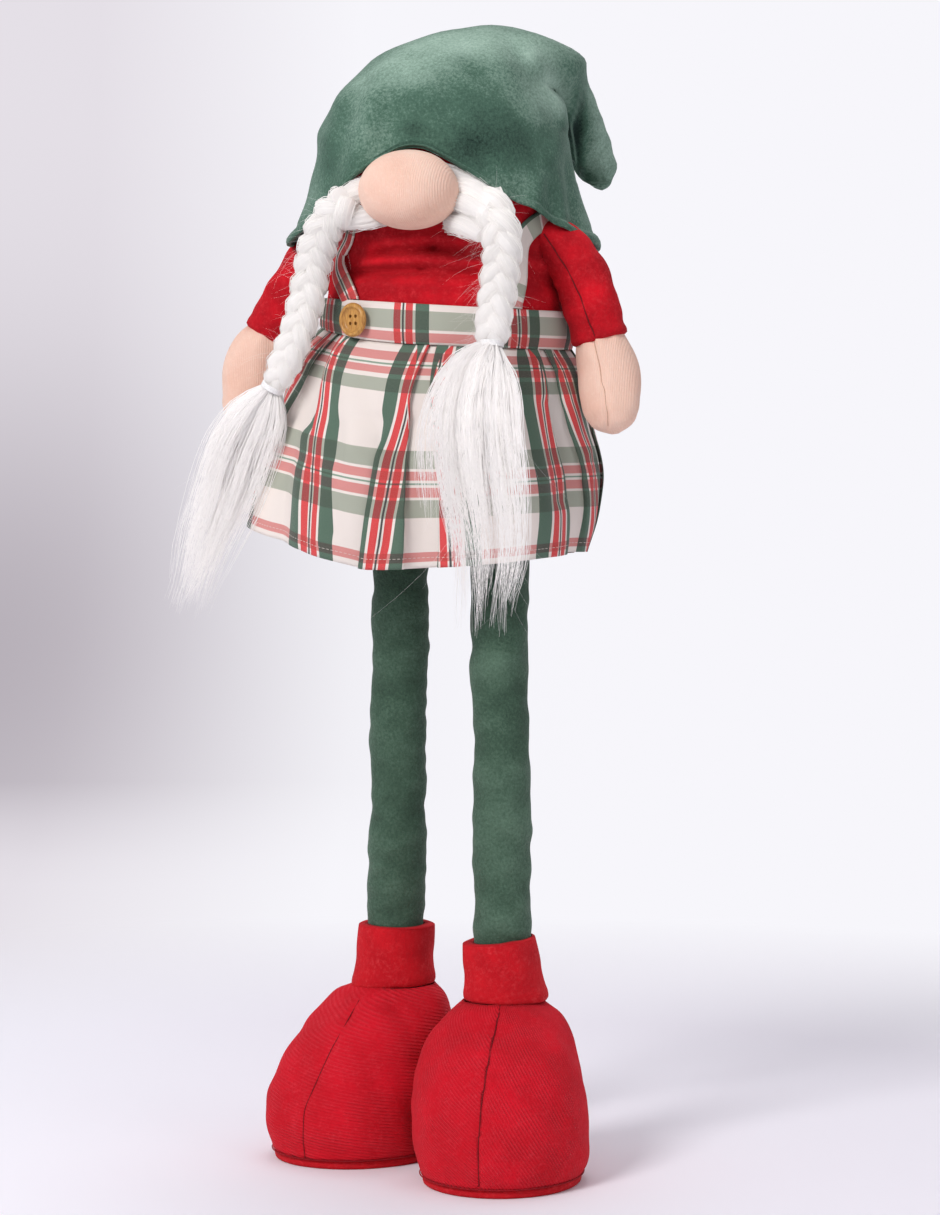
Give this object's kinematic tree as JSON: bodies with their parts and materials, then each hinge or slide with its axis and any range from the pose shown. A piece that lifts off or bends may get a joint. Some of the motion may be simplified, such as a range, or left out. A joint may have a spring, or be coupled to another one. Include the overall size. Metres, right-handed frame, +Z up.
{
  "type": "plush gnome figure",
  "caption": "Standing plush christmas gnome with a folded velvet hat, long plaits, a pleated plaid skirt, slim straight legs and round felt boots.",
  "frame": {"origin": "on the floor under the middle of the figure's bounding box, between the two boots", "axes": "+Z up along the legs and body, -Y the way the nose and boots face, +X to the viewer's right when facing the figure"},
  "size_m": [0.2673, 0.2067, 0.6801],
  "materials": {
    "plush_red": "matte brushed plush",
    "velvet_hat": "soft velvet nap",
    "knit_nose": "fine brushed knit",
    "hair_tufts": "soft long pile",
    "hair_plaits": "soft long pile, plaited",
    "hair_ties": "binding thread",
    "hair_tassels": "loose long pile",
    "plush_sleeves": "matte felted plush",
    "knit_hands": "fine brushed knit",
    "plaid_band": "woven plaid cotton",
    "plaid_skirt": "woven plaid cotton",
    "plaid_straps": "woven plaid cotton",
    "turned_wood": "waxed turned wood",
    "button_thread": "sewing thread",
    "velvet_legs": "soft velvet nap",
    "felt_cuffs": "matte felt",
    "felt_boots": "matte ribbed felt",
    "felt_soles": "matte felt",
    "core_tube": "extruded plastic",
    "ballast_cloth": "plain bag cloth",
    "disc_plastic": "moulded plastic"
  },
  "bodies": {
    "root": {"body": "plush_red", "hat": "velvet_hat", "nose": "knit_nose", "hair_tuft_left": "hair_tufts", "hair_tuft_right": "hair_tufts", "plait_left": "hair_plaits", "plait_right": "hair_plaits", "tie_left": "hair_ties", "tie_right": "hair_ties", "tassel_left": "hair_tassels", "tassel_right": "hair_tassels", "sleeve_left": "plush_sleeves", "sleeve_right": "plush_sleeves", "hand_left": "knit_hands", "hand_right": "knit_hands", "waistband": "plaid_band", "skirt": "plaid_skirt", "strap_left": "plaid_straps", "strap_right": "plaid_straps", "button": "turned_wood", "button_post": "button_thread", "leg_cover_left": "velvet_legs", "leg_cover_right": "velvet_legs", "boot_cuff_left": "felt_cuffs", "boot_cuff_right": "felt_cuffs", "boot_upper_left": "felt_boots", "boot_upper_right": "felt_boots", "boot_sole_left": "felt_soles", "boot_sole_right": "felt_soles", "leg_core_left": "core_tube", "leg_core_right": "core_tube", "ballast_bag_left": "ballast_cloth", "ballast_bag_right": "ballast_cloth", "foot_disc_left": "disc_plastic", "foot_disc_right": "disc_plastic"}
  },
  "joints": []
}
